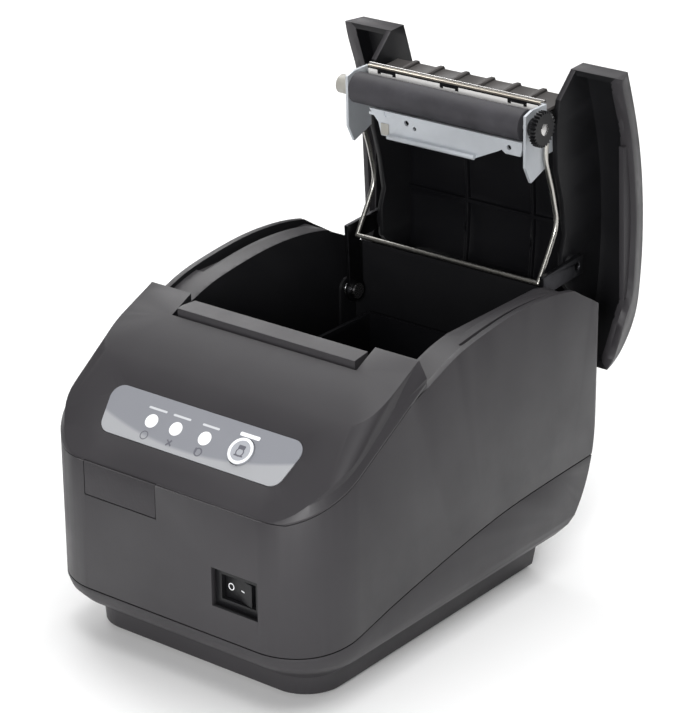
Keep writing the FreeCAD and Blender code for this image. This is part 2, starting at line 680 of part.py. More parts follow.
# ---- cutter -----------------------------------------------------------------------------
CUT_Z = 96.9                   # underside of the moving blade
PINION_AT = (6.0, -48.0)
T_CUT = 24
RACK_PITCH = math.pi * GEAR_MOD


def cutter_frame():
    plate = box(-46.0, 46.0, -60.0, -27.5, 95.45 + 0.6, 96.6)
    rails = [box(s - 1.5, s + 1.5, -56, -27.5, 96.6, 99.4) for s in (-44.4, 44.4)]
    legs = [box(s - 0.5, s + 0.5, -48, -40, 88, 96.2) for s in (-45.8, 45.8)]
    return cut(fuse([plate] + rails + legs), [cyl_z(90, 100, PINION_AT[0], PINION_AT[1], 4.0)])


def cutter_blade():
    """Moving blade with a shallow V edge, and the rack that drives it."""
    edge = [(-42.4, -26.2), (0, -28.6), (42.4, -26.2), (42.4, -43.0), (-42.4, -43.0)]
    blade = poly_z(edge, CUT_Z, CUT_Z + 0.8)
    pitch_x = PINION_AT[0] + GEAR_MOD * T_CUT / 2
    pts = [(pitch_x + 4.0, PINION_AT[1] - 10 * RACK_PITCH)]
    for k in range(-9, 6):
        y = PINION_AT[1] + (k + 0.5) * RACK_PITCH
        for dy, dx in ((-0.32, 0.62), (-0.13, -0.46), (0.13, -0.46), (0.32, 0.62)):
            pts.append((pitch_x + dx, y + dy * RACK_PITCH))
    pts.append((pitch_x + 4.0, PINION_AT[1] + 6 * RACK_PITCH))
    rack = poly_z(pts, CUT_Z + 0.4, CUT_Z + 3.4)
    tail = box(pitch_x + 0.8, pitch_x + 4.0, -58, -36, CUT_Z, CUT_Z + 0.8)
    return fuse([blade, tail, rack])


def cutter_pinion():
    gear = gear_x(0.0, 2.2, (0, 0), T_CUT, 1.0)
    gear.rotate(V(0, 0, 0), V(0, 1, 0), -90)
    gear.rotate(V(0, 0, 0), V(0, 0, 1), 90)
    gear.translate(V(PINION_AT[0], PINION_AT[1], CUT_Z + 1.1))
    shaft = cyl_z(72, CUT_Z + 3.8, PINION_AT[0], PINION_AT[1], 1.2)
    return fuse([gear, shaft])


def cutter_motor():
    can = cyl_z(70.2, 95.9, PINION_AT[0], PINION_AT[1], 8.6)
    return can.cut(cyl_z(71.5, 99, PINION_AT[0], PINION_AT[1], 1.2 + RUN))


# ---- paper compartment ------------------------------------------------------------------
ROLL = (44.6, 59.5)
ROLL_R = 40.2
BUCKET_HALF = 41.5


def roll_space(grow, half, top):
    drum = cyl_x(-half, half, ROLL[0], ROLL[1], ROLL_R + grow)
    above = box(-half, half, ROLL[0] - ROLL_R - grow, ROLL[0] + ROLL_R + grow, ROLL[1], top)
    return drum.fuse(above)


def paper_bucket():
    tub = roll_space(1.6, BUCKET_HALF + 2.0, 83.0).cut(roll_space(0.0, BUCKET_HALF, 100.0))
    front = box(-50, 50, 0, 20, 77.5, 100)
    slot = box(28, 36, 20, 40, 10, 30)
    return cut(tub, [front, slot]).common(box(-60, 60, -10, 100, 0, 83.0))


def near_end_sensor():
    return box(29, 35, 24, 34, 14.5, 18.6)


# ---- electronics ------------------------------------------------------------------------
def main_board():
    board = box(-55, 55, -62, PORT_Y - 13.4, BOARD_Z, BOARD_Z + 1.6)
    chips = [box(x, x + w, y, y + w, BOARD_Z + 1.5, BOARD_Z + 3.4)
             for x, y, w in ((-30, -20, 14), (4, -34, 18), (-6, 2, 10), (-44, -10, 8))]
    holes = [cyl_z(0, 20, x, y, 1.6) for x, y in POSTS]
    pillars = [box(x - 4, x + 4, y - 4, y + 4, 0, 20) for x, y in PILLARS]
    return cut(fuse([board] + chips), holes + pillars)


def capacitors():
    return [cyl_z(BOARD_Z + 1.6, BOARD_Z + 11, x, y, 4.0) for x, y in ((26, -52), (36.5, -62 + 4.4), (16, -52))]


PORTS = (("power_inlet", -34.0, 15.0), ("usb_socket", -14.5, 12.0), ("drawer_socket", 3.0, 13.0),
         ("serial_socket", 28.5, 29.0))


def port(name, x, w):
    """Socket body with a rear-facing cavity."""
    y0, y1 = PORT_Y - 8.8, PORT_Y + 1.2
    body = box(x - w / 2, x + w / 2, PORT_Y - 12.8, PORT_Y, 2.9, 11.9)
    hollow = box(x - w / 2 + 1.3, x + w / 2 - 1.3, y0, y1, 4.2, 10.6)
    if name == "power_inlet":
        hollow = cyl_y(y0, y1, x, 7.4, 3.9)
        tongue = [cyl_y(y0 - 0.5, PORT_Y - 1.8, x + dx, 7.4 + dz, 0.5) for dx, dz in ((-1.6, 1.0), (1.6, 1.0), (0, -1.6))]
    elif name == "serial_socket":
        tongue = [cyl_y(y0 - 0.5, PORT_Y - 2.3, x + dx * 2.6, 8.8, 0.5) for dx in (-2, -1, 0, 1, 2)]
        tongue += [cyl_y(y0 - 0.5, PORT_Y - 2.3, x + dx * 2.6, 6.0, 0.5) for dx in (-1.5, -0.5, 0.5, 1.5)]
    else:
        tongue = [box(x - w / 4, x + w / 4, y0 - 0.5, PORT_Y - 2.3, 6.4, 8.0)]
    return fuse([body.cut(hollow)] + tongue)


def connector_plate():
    plate = box(-45, 46, PORT_Y - 2.5, PORT_Y - 1.5, 2.7, 12.1)
    gaps = [box(x - w / 2 - 0.05, x + w / 2 + 0.05, PORT_Y - 6, PORT_Y, 2.85, 11.95) for _, x, w in PORTS]
    return cut(plate, gaps)


# ---- cover ------------------------------------------------------------------------------
RIM = [(p[0] - SHUT_Y, p[1] + 0.35) for p in ARCH[:-2]] + [(HORN[0], 117.3)]


def under_skin(drop, x0, x1):
    """Everything under the cover's top curve moved in by drop."""
    pts = inset_curve(SKIN, drop) if drop else list(SKIN)
    pts[-1] = (HORN[0], pts[-1][1])
    edges = [spline(pts), line(*yz([pts[-1], (HORN[0], 60)])), line(*yz([(HORN[0], 60), (pts[0][0], 60)])),
             line(*yz([(pts[0][0], 60), pts[0]]))]
    return prism_x(edges, x0, x1)


def rim_wire(top, x):
    edges = [spline(top, x), line(*yz([top[-1], RIM[-1]], x)), spline(RIM, x), line(*yz([RIM[0], top[0]], x))]
    return Part.Wire(Part.__sortEdges__(edges))


WALL_LOW = [(-29.1, 117.6), (-19.5, 106.4), (-10, 103.8), (10, 103.8), (24, 107.4), (40, 109.6), (48, 106.5),
            (61, 106.5), (74, 118.0), (80, 134.0), (80, 150), (-29.1, 150)]


def cover_shell():
    mid = Part.Face(rim_wire(list(SKIN), 0)).extrude(V(2 * COVER_TOP_X, 0, 0))
    mid.translate(V(-COVER_TOP_X, 0, 0))
    thin = [(p[0], p[1] + 0.9) for p in RIM]
    edge = loft([rim_wire(list(SKIN), COVER_TOP_X - 0.01), rim_wire(thin, COVER_X)])
    full = fuse([mid] + both(edge))
    hollow = under_skin(COVER_T, -64.6, 64.6).common(box(-65, 65, HORN[0] + 2.4, 94.4, 60, 150))
    shell = full.cut(hollow)
    shell = shell.cut(box(-COVER_IN, COVER_IN, -35, NOTCH_Y, 100, 150))
    lip = box(-COVER_IN - 1, COVER_IN + 1, NOTCH_Y, NOTCH_Y + 2.2, 118.0, 140).common(under_skin(0.5, -60, 60))
    wall = poly_x(WALL_LOW, COVER_IN, COVER_IN + 2.4).common(under_skin(0.5, 0, 60))
    boss = cyl_x(COVER_IN + 2.2, 49.6, 54.6, 112.0, 4.6)
    tongue = box(65.3, 67.6, 2.2, 70.0, 122.6, 134).common(under_skin(0.5, 0, 70))
    return fuse([shell, lip] + both(wall) + both(boss) + both(tongue))


def cover_liner():
    """Ribbed inner panel between the cover's walls, above the paper."""
    zone = box(-COVER_IN + 0.1, COVER_IN - 0.1, -6.6, 72, 90, 140)
    panel = under_skin(9.0, -50, 50).cut(under_skin(10.6, -50, 50)).common(zone)
    band = under_skin(10.4, -50, 50).cut(under_skin(12.6, -50, 50)).common(zone)
    ribs = [band.common(box(x - 0.7, x + 0.7, -10, 80, 90, 140)) for x in (-14.0, 20.0)]
    ribs += [band.common(box(-50, 50, y - 0.7, y + 0.7, 90, 140)) for y in (44.0,)]
    posts = [box(x - 2, x + 2, y - 2, y + 2, 115, 140).common(under_skin(2.3, -60, 60)).cut(under_skin(10.0, -60, 60))
             for x in (-30, 30) for y in (8, 56)]
    return fuse([panel] + ribs + posts)


GUIDE_Y = (-16.4, -14.8)


def paper_guide():
    """Upright ribbed plate behind the blade that turns the paper out of the exit slot."""
    plate = box(-44.2, 44.2, GUIDE_Y[0], GUIDE_Y[1], 100.1, 119.6)
    shelf = box(-44.2, 44.2, GUIDE_Y[0], NOTCH_Y, 118.2, 119.6)
    foot = box(-44.2, 44.2, GUIDE_Y[0], -9, 100.1, 101.4)
    ribs = []
    for i in range(6):
        x = -33.5 + 13.0 * i
        ribs.append(poly_x([(GUIDE_Y[0] + 0.2, 102), (GUIDE_Y[0] - 1.0, 104), (GUIDE_Y[0] - 1.6, 116),
                            (GUIDE_Y[0] - 1.2, 119.4), (GUIDE_Y[0] + 1.0, 120.6), (GUIDE_Y[0] + 5, 119.4)],
                           x - 0.8, x + 0.8))
    return fuse([plate, shelf, foot] + ribs)


# ---- platen assembly on the cover -------------------------------------------------------
EAR = (44.4, 45.6)
BLADE_Z = (98.0, 99.0)


def platen_bracket():
    """Zinc-plated channel: two pointed ears, a lower web with a bent lip, a top web."""
    ear = poly_x([(-18.8, 85.4), (-20.0, 90.0), (-19.6, 100.1), (-9.0, 100.1), (-9.0, 112.0), (2.0, 112.0),
                  (2.0, 100.1), (7.0, 100.1), (10.6, 88.2), (3.0, 84.6)], EAR[0], EAR[1])
    ear = ear.cut(cyl_x(40, 50, PLATEN[0], PLATEN[1], SHAFT_R + RUN))
    shelf = box(-33.2, 43.9, -6.0, -4.8, 84.6, 100.1)
    face = [(-33.2, -7.6), (-28.5, -2.2), (-27.2, 3.4), (21.3, 3.4), (32.1, -1.7), (34.0, -2.8), (35.8, -1.5),
            (43.1, -1.5), (43.9, -4.5), (43.9, -7.6)]
    low = poly_z(face, 84.6, 85.8)
    lip = box(-22.7, 21.3, 2.2, 3.4, 82.8, 85.8).fuse(cyl_x(-22.7, 21.3, 2.8, 83.0, 1.0))
    top = box(-EAR[1], EAR[1], -19.6, -4.8, BLADE_Z[1], 100.1)
    holes = [cyl_z(80, 86.5, x, y, r) for x, y, r in ((-13.9, -4.4, 1.2), (-9.8, -2.7, 0.9), (37.6, -4.4, 1.1))]
    holes.append(cyl_z(84.0, 85.1, -24.4, -6.2, 1.1))
    return cut(fuse([shelf, low, lip, top] + both(ear)), holes)


def fixed_blade():
    blade = box(-43.6, 43.6, -20.5, -11.0, BLADE_Z[0], BLADE_Z[1])
    notches = [box(x - 6, x + 6, -17.9, -17.0, 97, 99.5) for x in (-30, 0, 30)]
    return cut(blade, notches)


def guide_rod():
    return cyl_x(-44.4, 44.4, -20.2, 100.7, 0.6)


def platen_roller():
    return cut(cyl_x(-PLATEN_HALF, PLATEN_HALF, PLATEN[0], PLATEN[1], PLATEN_R),
               [cyl_x(-60, 60, PLATEN[0], PLATEN[1], SHAFT_R)])


def platen_shaft():
    return cyl_x(-SHAFT_HALF, SHAFT_HALF, PLATEN[0], PLATEN[1], SHAFT_R)


def platen_bushes():
    bore = cyl_x(-60, 60, PLATEN[0], PLATEN[1], SHAFT_R + RUN)
    left = cyl_x(-51.5, -45.7, PLATEN[0], PLATEN[1], BUSH_R)
    right = cyl_x(45.7, 48.6, PLATEN[0], PLATEN[1], BUSH_R)
    return [left.cut(bore), right.cut(bore)]


def platen_gear():
    return gear_x(48.9, 51.6, PLATEN, T_PLATEN, SHAFT_R)


# ---- spring wire frame ------------------------------------------------------------------
WIRE_R = 1.05
WIRE_BEND = 20.0          # largest bend radius; short runs between bends take less
WIRE_X = 47.0
WIRE_LEG = [(-4.0, 97.5), (3.0, 96.6), (17.6, 101.0), (34.0, 104.6), (44.0, 98.0), (55.1, 90.2)]


def bent_path(points, x, r):
    """Straight runs joined by tangent arcs, in a plane across X."""
    pts = yz(points, x)
    edges = []
    last = pts[0]
    for a, b, c in zip(pts, pts[1:], pts[2:]):
        u = (a - b).normalize()
        v = (c - b).normalize()
        half = math.acos(max(-1.0, min(1.0, u.dot(v)))) / 2
        back = min(r / math.tan(half), 0.45 * (a - b).Length, 0.45 * (c - b).Length)
        rad = back * math.tan(half)
        inward = (u + v).normalize()
        middle = b + inward * (rad / math.sin(half) - rad)
        edges.append(line(last, b + u * back))
        edges.append(Part.Arc(b + u * back, middle, b + v * back).toShape())
        last = b + v * back
    edges.append(line(last, pts[-1]))
    return Part.Wire(edges)


def wire_frame():
    path = bent_path(WIRE_LEG, WIRE_X, WIRE_BEND)
    (y0, z0), (y1, z1) = WIRE_LEG[:2]
    section = Part.Wire(Part.makeCircle(WIRE_R, V(WIRE_X, y0, z0), V(0, y1 - y0, z1 - z0)))
    leg = path.makePipeShell([section], True, False)
    end = WIRE_LEG[-1]
    knee = Part.makeSphere(WIRE_R, V(WIRE_X, end[0], end[1]))
    bar = cyl_x(-WIRE_X, WIRE_X, end[0], end[1], WIRE_R)
    side = leg.fuse(knee)
    return side.fuse(bar).fuse(mirror(side))


# ---- hinge ------------------------------------------------------------------------------
ARM = (49.6, 51.6)


def hinge_arms():
    """Gooseneck steel arms: from the pins forward, then up to the cover's walls."""
    y, z = HINGE[0] - SHUT_Y, HINGE[1]
    band = box(ARM[0], ARM[1], 50.5, y, z - 4.2, z + 4.0)
    post = box(ARM[0], ARM[1], 50.5, 59.0, z - 4.2, 116.2)
    arm = fuse([cyl_x(ARM[0], ARM[1], y, z, 5.2), band, post])
    arm = cut(arm, [cyl_x(40, 60, y, z, 2.0 + RUN), cyl_x(40, 60, 54.6, 112.0, 1.6)])
    return both(arm)


def hinge_pins():
    pin = fuse([cyl_x(48.7, 57.5, HINGE[0], HINGE[1], 2.0), cyl_x(48.3, 49.3, HINGE[0], HINGE[1], 3.4)])
    return both(pin)


def hinge_springs():
    """Two-turn torsion springs round the pins, each turn a closed ring, joined by a short rung."""
    y, z = HINGE
    turns = [Part.makeTorus(3.2, 0.3, V(x, y, z), V(1, 0, 0)) for x in (52.1, 53.5)]
    spring = fuse(turns + [cyl_x(52.1, 53.5, y, z + 3.2, 0.22)])
    return both(spring)


def screws(at, z0, z1, r=1.25, head_r=2.6, head_h=1.4, up=True):
    out = []
    for x, y in at:
        head = (z1, z1 + head_h) if up else (z0 - head_h, z0)
        out.append(fuse([cyl_z(z0, z1, x, y, r), cyl_z(head[0], head[1], x, y, head_r)]))
    return out


# ---- the printer ------------------------------------------------------------------------
node("base_shell", base_shell())
node("rubber_feet", feet())
node("housing", housing())
node("front_bezel", front_bezel())
node("status_panel", status_panel())
node("led_lenses", led_lenses())
node("feed_button", feed_button())
node("panel_board", panel_board())
node("tear_plate", tear_plate())
node("cover_release_button", release_button())
node("switch_body", switch_body())
node("switch_rocker", switch_rocker())
node("chassis", shut(chassis()))
node("feed_motor", shut(feed_motor()))
node("motor_pinion", shut(motor_pinion()))
node("idler_gear", shut(idler_gear()))
node("drive_gear", shut(drive_gear()))
node("gear_studs", [shut(s) for s in gear_studs()])
node("print_head", shut(print_head()))
node("head_heat_sink", shut(head_sink()))
node("head_springs", [shut(s) for s in head_springs()])
node("latch_bail", shut(latch_bail()))
node("latch_spring", shut(latch_spring()))
node("cutter_frame", shut(cutter_frame()))
node("cutter_blade", shut(cutter_blade()))
node("cutter_pinion", shut(cutter_pinion()))
node("cutter_motor", shut(cutter_motor()))
node("paper_bucket", paper_bucket())
node("near_end_sensor", near_end_sensor())
node("main_board", main_board())
node("board_capacitors", capacitors())
for name, x, w in PORTS:
    node(name, port(name, x, w))
node("connector_plate", connector_plate())
node("chassis_screws", screws(PILLARS, 54.0, 62.2))
node("board_screws", screws(POSTS, 3.0, BOARD_Z + 1.6, 1.15))
node("hinge_pins", hinge_pins())
node("hinge_springs", hinge_springs())

# Pieces that ride on the cover are laid out with it shut, then swung open with it.
node("cover_shell", opened(cover_shell()))
node("cover_liner", opened(cover_liner()))
node("paper_guide", opened(paper_guide()))
node("hinge_arms", [opened(s) for s in hinge_arms()])
node("wire_frame", opened(wire_frame()))
node("platen_bracket", opened(platen_bracket()))
node("fixed_blade", opened(fixed_blade()))
node("guide_rod", opened(guide_rod()))
node("platen_bushes", [opened(s) for s in platen_bushes()])
node("platen_shaft", opened(platen_shaft()))
node("platen_roller", opened(platen_roller()))
node("platen_gear", opened(platen_gear()))

for name, shapes in NODES.items():
    out = shapes[0] if len(shapes) == 1 else Part.makeCompound(shapes)
    out.translate(V(0, 0, FOOT_H))
    out.exportStep("parts/" + name + ".step")
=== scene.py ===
import json
import math
import bmesh
import bpy
from mathutils import Matrix, Vector


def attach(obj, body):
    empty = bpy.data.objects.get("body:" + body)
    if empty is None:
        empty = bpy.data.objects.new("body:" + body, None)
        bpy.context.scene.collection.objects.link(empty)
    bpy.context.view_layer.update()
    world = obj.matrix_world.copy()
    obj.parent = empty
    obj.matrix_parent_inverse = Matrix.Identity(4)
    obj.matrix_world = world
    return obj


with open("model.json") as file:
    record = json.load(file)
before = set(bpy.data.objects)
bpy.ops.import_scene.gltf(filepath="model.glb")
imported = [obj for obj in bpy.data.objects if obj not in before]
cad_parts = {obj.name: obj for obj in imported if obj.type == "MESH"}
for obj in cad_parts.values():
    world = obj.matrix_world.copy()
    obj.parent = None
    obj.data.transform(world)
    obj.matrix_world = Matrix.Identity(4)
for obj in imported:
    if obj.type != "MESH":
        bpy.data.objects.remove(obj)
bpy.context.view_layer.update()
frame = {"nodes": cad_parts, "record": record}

NODES = frame["nodes"]


# ---- materials --------------------------------------------------------------------------
class Shader:
    """A material's nodes, added a line at a time."""

    def __init__(self, name):
        self.mat = bpy.data.materials.new(name)
        self.mat.use_nodes = True
        self.tree = self.mat.node_tree
        self.bsdf = self.tree.nodes["Principled BSDF"]
        self.coords = self.tree.nodes.new("ShaderNodeTexCoord").outputs["Object"]

    def add(self, kind, link=None, **values):
        node = self.tree.nodes.new(kind)
        for key, value in values.items():
            if key in node.inputs:
                node.inputs[key].default_value = value
            else:
                setattr(node, key, value)
        for key, source in (link or {}).items():
            self.tree.links.new(source, node.inputs[key])
        return node

    def join(self, source, socket):
        self.tree.links.new(source, self.bsdf.inputs[socket])

    def noise(self, scale, detail=3.0, rough=0.55, stretch=(1, 1, 1)):
        place = self.add("ShaderNodeMapping", {"Vector": self.coords}, Scale=stretch)
        return self.add("ShaderNodeTexNoise", {"Vector": place.outputs[0]},
                        Scale=scale, Detail=detail, Roughness=rough).outputs["Fac"]

    def ramp(self, source, stops):
        node = self.add("ShaderNodeValToRGB", {"Fac": source})
        ramp = node.color_ramp
        while len(ramp.elements) < len(stops):
            ramp.elements.new(0.5)
        for element, (at, colour) in zip(ramp.elements, stops):
            element.position = at
            element.color = (*colour, 1)
        return node.outputs["Color"]

    def spread(self, source, low, high, start=0.3, end=0.7):
        node = self.add("ShaderNodeMapRange", {"Value": source})
        for key, value in (("From Min", start), ("From Max", end), ("To Min", low), ("To Max", high)):
            node.inputs[key].default_value = value
        return node.outputs[0]

    def bump(self, height, strength, distance, after=None):
        node = self.add("ShaderNodeBump", {"Height": height}, Strength=strength, Distance=distance)
        if after is not None:
            self.tree.links.new(after, node.inputs["Normal"])
        return node.outputs["Normal"]


def shade(c, k):
    return tuple(min(1.0, v * k) for v in c)


def moulded(name, colour, rough=0.42, grain=2600.0, depth=0.12, vary=0.10, specular=0.5):
    """Moulded plastic: spark-eroded grain, faint flow marks and handling sheen."""
    s = Shader(name)
    cloud = s.noise(14.0, 4.0)
    tint = [(0.3, shade(colour, 1 - vary)), (0.7, shade(colour, 1 + vary))]
    s.join(s.ramp(cloud, tint), "Base Color")
    touch = s.noise(38.0, 5.0, 0.6)
    s.join(s.spread(touch, rough - 0.05, rough + 0.06), "Roughness")
    fine = s.bump(s.noise(grain, 2.0), depth, 0.00012)
    s.join(s.bump(s.noise(grain * 0.22, 2.0), depth * 0.5, 0.0002, fine), "Normal")
    s.bsdf.inputs["Specular IOR Level"].default_value = specular
    return s.mat


def metal(name, colour, rough=0.3, lines=(1, 60, 60), scale=40.0, depth=0.08, stain=0.12):
    """Drawn, ground or plated metal: fine lines one way and a cloudy tint."""
    s = Shader(name)
    s.bsdf.inputs["Metallic"].default_value = 1.0
    cloud = s.noise(30.0, 5.0)
    tint = [(0.3, shade(colour, 1 - stain)), (0.72, shade(colour, 1 + stain * 0.6))]
    s.join(s.ramp(cloud, tint), "Base Color")
    drawn = s.noise(scale, 4.0, 0.6, lines)
    s.join(s.spread(drawn, rough - 0.07, rough + 0.1), "Roughness")
    s.join(s.bump(drawn, depth, 0.00015), "Normal")
    return s.mat


def rubber(name, colour, rough=0.62):
    s = Shader(name)
    dust = s.noise(60.0, 5.0, 0.65)
    s.join(s.ramp(dust, [(0.35, colour), (0.8, shade(colour, 2.0))]), "Base Color")
    s.join(s.spread(dust, rough - 0.08, rough + 0.12), "Roughness")
    s.join(s.bump(s.noise(1800.0, 3.0), 0.25, 0.0002), "Normal")
    s.bsdf.inputs["Specular IOR Level"].default_value = 0.35
    return s.mat


def board_mask(name):
    """Green solder mask with tracks showing through it."""
    s = Shader(name)
    cell = s.add("ShaderNodeTexBrick", {"Vector": s.coords}, Scale=160.0)
    cell.inputs["Color1"].default_value = (0.015, 0.13, 0.06, 1)
    cell.inputs["Color2"].default_value = (0.02, 0.17, 0.08, 1)
    cell.inputs["Mortar"].default_value = (0.05, 0.26, 0.12, 1)
    s.join(cell.outputs["Color"], "Base Color")
    s.join(s.spread(s.noise(90.0), 0.25, 0.4), "Roughness")
    s.join(s.bump(cell.outputs["Fac"], 0.3, 0.0001), "Normal")
    return s.mat


SWEEP_MIDDLE = 0.004             # the label's arc is lowest this far to the left, in metres
SWEEP_CLIMB = 2.3                # and climbs by this times the distance squared
SWEEP_EDGE = (0.0908, 0.0918)    # height over which the pale part fades out


def panel_film(name):
    """Printed film: grey, paler below an arc that climbs towards both ends."""
    s = Shader(name)
    place = s.add("ShaderNodeSeparateXYZ", {"Vector": s.coords})
    aside = s.add("ShaderNodeMath", {0: place.outputs["X"]}, operation="ADD")
    aside.inputs[1].default_value = SWEEP_MIDDLE
    square = s.add("ShaderNodeMath", {0: aside.outputs[0], 1: aside.outputs[0]}, operation="MULTIPLY")
    climb = s.add("ShaderNodeMath", {0: square.outputs[0]}, operation="MULTIPLY")
    climb.inputs[1].default_value = SWEEP_CLIMB
    edge = s.add("ShaderNodeMath", {0: place.outputs["Z"], 1: climb.outputs[0]}, operation="SUBTRACT")
    lower = s.spread(edge.outputs[0], 1.0, 0.0, *SWEEP_EDGE)
    mix = s.add("ShaderNodeMix", {"Factor": lower}, data_type="RGBA")
    mix.inputs[6].default_value = (0.222, 0.228, 0.250, 1)
    mix.inputs[7].default_value = (0.34, 0.345, 0.36, 1)
    s.join(mix.outputs[2], "Base Color")
    s.join(s.spread(s.noise(70.0), 0.3, 0.42), "Roughness")
    s.join(s.bump(s.noise(2200.0), 0.05, 0.0001), "Normal")
    return s.mat


def plated(name, colour, rough=0.5):
    """Dull zinc plating: half diffuse, so it stays pale where it faces dark plastic."""
    s = Shader(name)
    s.bsdf.inputs["Metallic"].default_value = 0.45
    cloud = s.noise(45.0, 4.0)
    s.join(s.ramp(cloud, [(0.3, shade(colour, 0.9)), (0.7, shade(colour, 1.08))]), "Base Color")
    s.join(s.spread(s.noise(80.0, 3.0), rough - 0.08, rough + 0.08), "Roughness")
    s.join(s.bump(s.noise(900.0, 2.0), 0.04, 0.0001), "Normal")
    return s.mat


M = {
    "body_plastic": moulded("body_plastic", (0.0335, 0.0315, 0.0345), 0.46, specular=0.34),
    "inner_plastic": moulded("inner_plastic", (0.0045, 0.0045, 0.0055), 0.40, 2000, specular=0.22),
    # Near black for faces inside the shells and for the strip's backing and gaps: painted shade, darker than
    # the body plastic.
    "inner_face": moulded("inner_face", (0.0070, 0.0070, 0.0080), 0.45, 2000, specular=0.22),
    "guide_face": moulded("guide_face", (0.060, 0.055, 0.053), 0.50, 2200, specular=0.4),
    "tab_plastic": moulded("tab_plastic", (0.031, 0.029, 0.032), 0.56, 900, 0.9, specular=0.3),
    "panel_print": panel_film("panel_print"),
    "lens_white": moulded("lens_white", (0.88, 0.89, 0.90), 0.25, 3000, 0.03, 0.03),
    "button_face": moulded("button_face", (0.36, 0.37, 0.40), 0.35, 2600, 0.05, 0.05),
    "print_white": moulded("print_white", (0.85, 0.86, 0.88), 0.40, 2600, 0.03, 0.03),
    "print_dark": moulded("print_dark", (0.11, 0.11, 0.13), 0.40, 2600, 0.03, 0.08),
    "blade_strip": metal("blade_strip", (0.80, 0.73, 0.62), 0.34),
    "white_strip": moulded("white_strip", (0.93, 0.92, 0.90), 0.30, 2600, 0.03, 0.02),
    "rubber": rubber("rubber", (0.030, 0.029, 0.033)),
    "black_plastic": moulded("black_plastic", (0.0075, 0.0075, 0.0085), 0.38, 2600, 0.06, specular=0.3),
    "pale_plastic": moulded("pale_plastic", (0.33, 0.32, 0.29), 0.42, 1800, 0.06),
    "print_pale": moulded("print_pale", (0.55, 0.56, 0.58), 0.40, 2600, 0.03, 0.03),
    "gear_plastic": moulded("gear_plastic", (0.70, 0.68, 0.62), 0.4, 1800, 0.05),
    "zinc_sheet": plated("zinc_sheet", (0.50, 0.525, 0.555)),
    "dark_steel": metal("dark_steel", (0.050, 0.050, 0.055), 0.38, (8, 8, 8), 60, 0.05),
    "steel": metal("steel", (0.62, 0.61, 0.60), 0.24),
    "wire_steel": metal("wire_steel", (0.46, 0.45, 0.42), 0.32, (20, 20, 20), 60, 0.05),
    "spring_steel": metal("spring_steel", (0.50, 0.50, 0.52), 0.26, (30, 30, 30), 80),
    "motor_steel": metal("motor_steel", (0.35, 0.35, 0.36), 0.36),
    "aluminium": metal("aluminium", (0.60, 0.60, 0.62), 0.34),
    "ceramic": moulded("ceramic", (0.72, 0.69, 0.62), 0.18, 3000, 0.02, 0.05),
    "circuit_board": board_mask("circuit_board"),
    "socket_plastic": moulded("socket_plastic", (0.03, 0.03, 0.033), 0.38),
}
LOOKS = {"wire_frame": "wire_steel", "platen_bushes": "pale_plastic", "feed_button": "button_face",
         "paper_guide": "guide_face"}
for part in frame["record"]["subparts"]:
    node = NODES[part["node"]]
    node.data.materials.clear()
    node.data.materials.append(M[LOOKS.get(part["node"], part["material_slot"])])


def second_face(name, look, test):
    """Gives the faces that pass the test, on centre and normal, a second look."""
    mesh = NODES[name].data
    mesh.materials.append(M[look])
    for face in mesh.polygons:
        if test(face.center, face.normal):
            face.material_index = 1


def inward(centre):
    """True for faces that look towards a point inside a shell."""
    return lambda c, n: n.x * c.x + n.y * (c.y - centre[0]) + n.z * (c.z - centre[1]) < 0


COVER_INNER_X = 0.0648           # half width inside the cover's side walls
HORN_END_Z = 0.19                # the horns' ends lie above this with the cover open
HOUSING_MIDDLE = (0.0, 0.060)    # y and z of points inside the shells
BASE_MIDDLE = (0.0, 0.050)
BEZEL_MIDDLE = (-0.045, 0.085)


def cover_inside(c, n):
    """The cover's skin, its rims and its horns' ends keep the body colour; its other inside faces get painted
    shade.
    """
    return n.y < 0.25 and abs(c.x) < COVER_INNER_X and not (n.z > 0.6 and c.z > HORN_END_Z)


# The shells' inward faces take the near-black look: painted shade in their hollows.
second_face("housing", "inner_face", inward(HOUSING_MIDDLE))
second_face("base_shell", "inner_face", inward(BASE_MIDDLE))
second_face("front_bezel", "inner_face", inward(BEZEL_MIDDLE))
second_face("cover_shell", "inner_face", cover_inside)
second_face("platen_bushes", "black_plastic", lambda c, n: c.x > 0)


# ---- edges ------------------------------------------------------------------------------
# Pressed and cut pieces that keep flat shading.
FLAT = {"platen_bracket", "chassis", "hinge_arms", "fixed_blade", "tear_plate", "cutter_frame"}


def soften(node, width, angle=38.0, segments=2):
    """Small moulded or pressed radius on a node's sharp edges."""
    o = NODES[node]
    weld = o.modifiers.new("weld", "WELD")
    weld.merge_threshold = 1e-6
    bevel = o.modifiers.new("edge_radius", "BEVEL")
    bevel.width = width
    bevel.segments = segments
    bevel.limit_method = "ANGLE"
    bevel.angle_limit = math.radians(angle)
    bevel.use_clamp_overlap = True
    if node in FLAT:
        return
    bevel.harden_normals = True
    for face in o.data.polygons:
        face.use_smooth = True


EDGES = {"housing": 0.0005, "base_shell": 0.0006, "cover_shell": 0.0006, "tear_plate": 0.0004,
         "cover_release_button": 0.0002, "switch_body": 0.0003, "switch_rocker": 0.0003,
         "platen_bracket": 0.0002, "hinge_arms": 0.0003, "paper_bucket": 0.0004, "cover_liner": 0.0003,
         "paper_guide": 0.0003, "chassis": 0.0002, "feed_motor": 0.0004, "fixed_blade": 0.0001,
         "cutter_frame": 0.0003, "platen_bushes": 0.0003, "platen_shaft": 0.0003}
for name, width in EDGES.items():
    soften(name, width)
BEZEL_RADIUS = 0.0014
BEZEL_ANGLE = 20.0               # its chamfers meet at less than the usual limit
soften("front_bezel", BEZEL_RADIUS, BEZEL_ANGLE, 3)


# ---- printed marks and small pieces -----------------------------------------------------
MM = 0.001
SLOPE = math.radians(41.7)
PANEL_EDGE = Vector((0, -0.0688, 0.1034))      # middle of the label's top edge
DOWN = Vector((0, -math.cos(SLOPE), -math.sin(SLOPE)))
OFF = Vector((0, -math.sin(SLOPE), math.cos(SLOPE)))


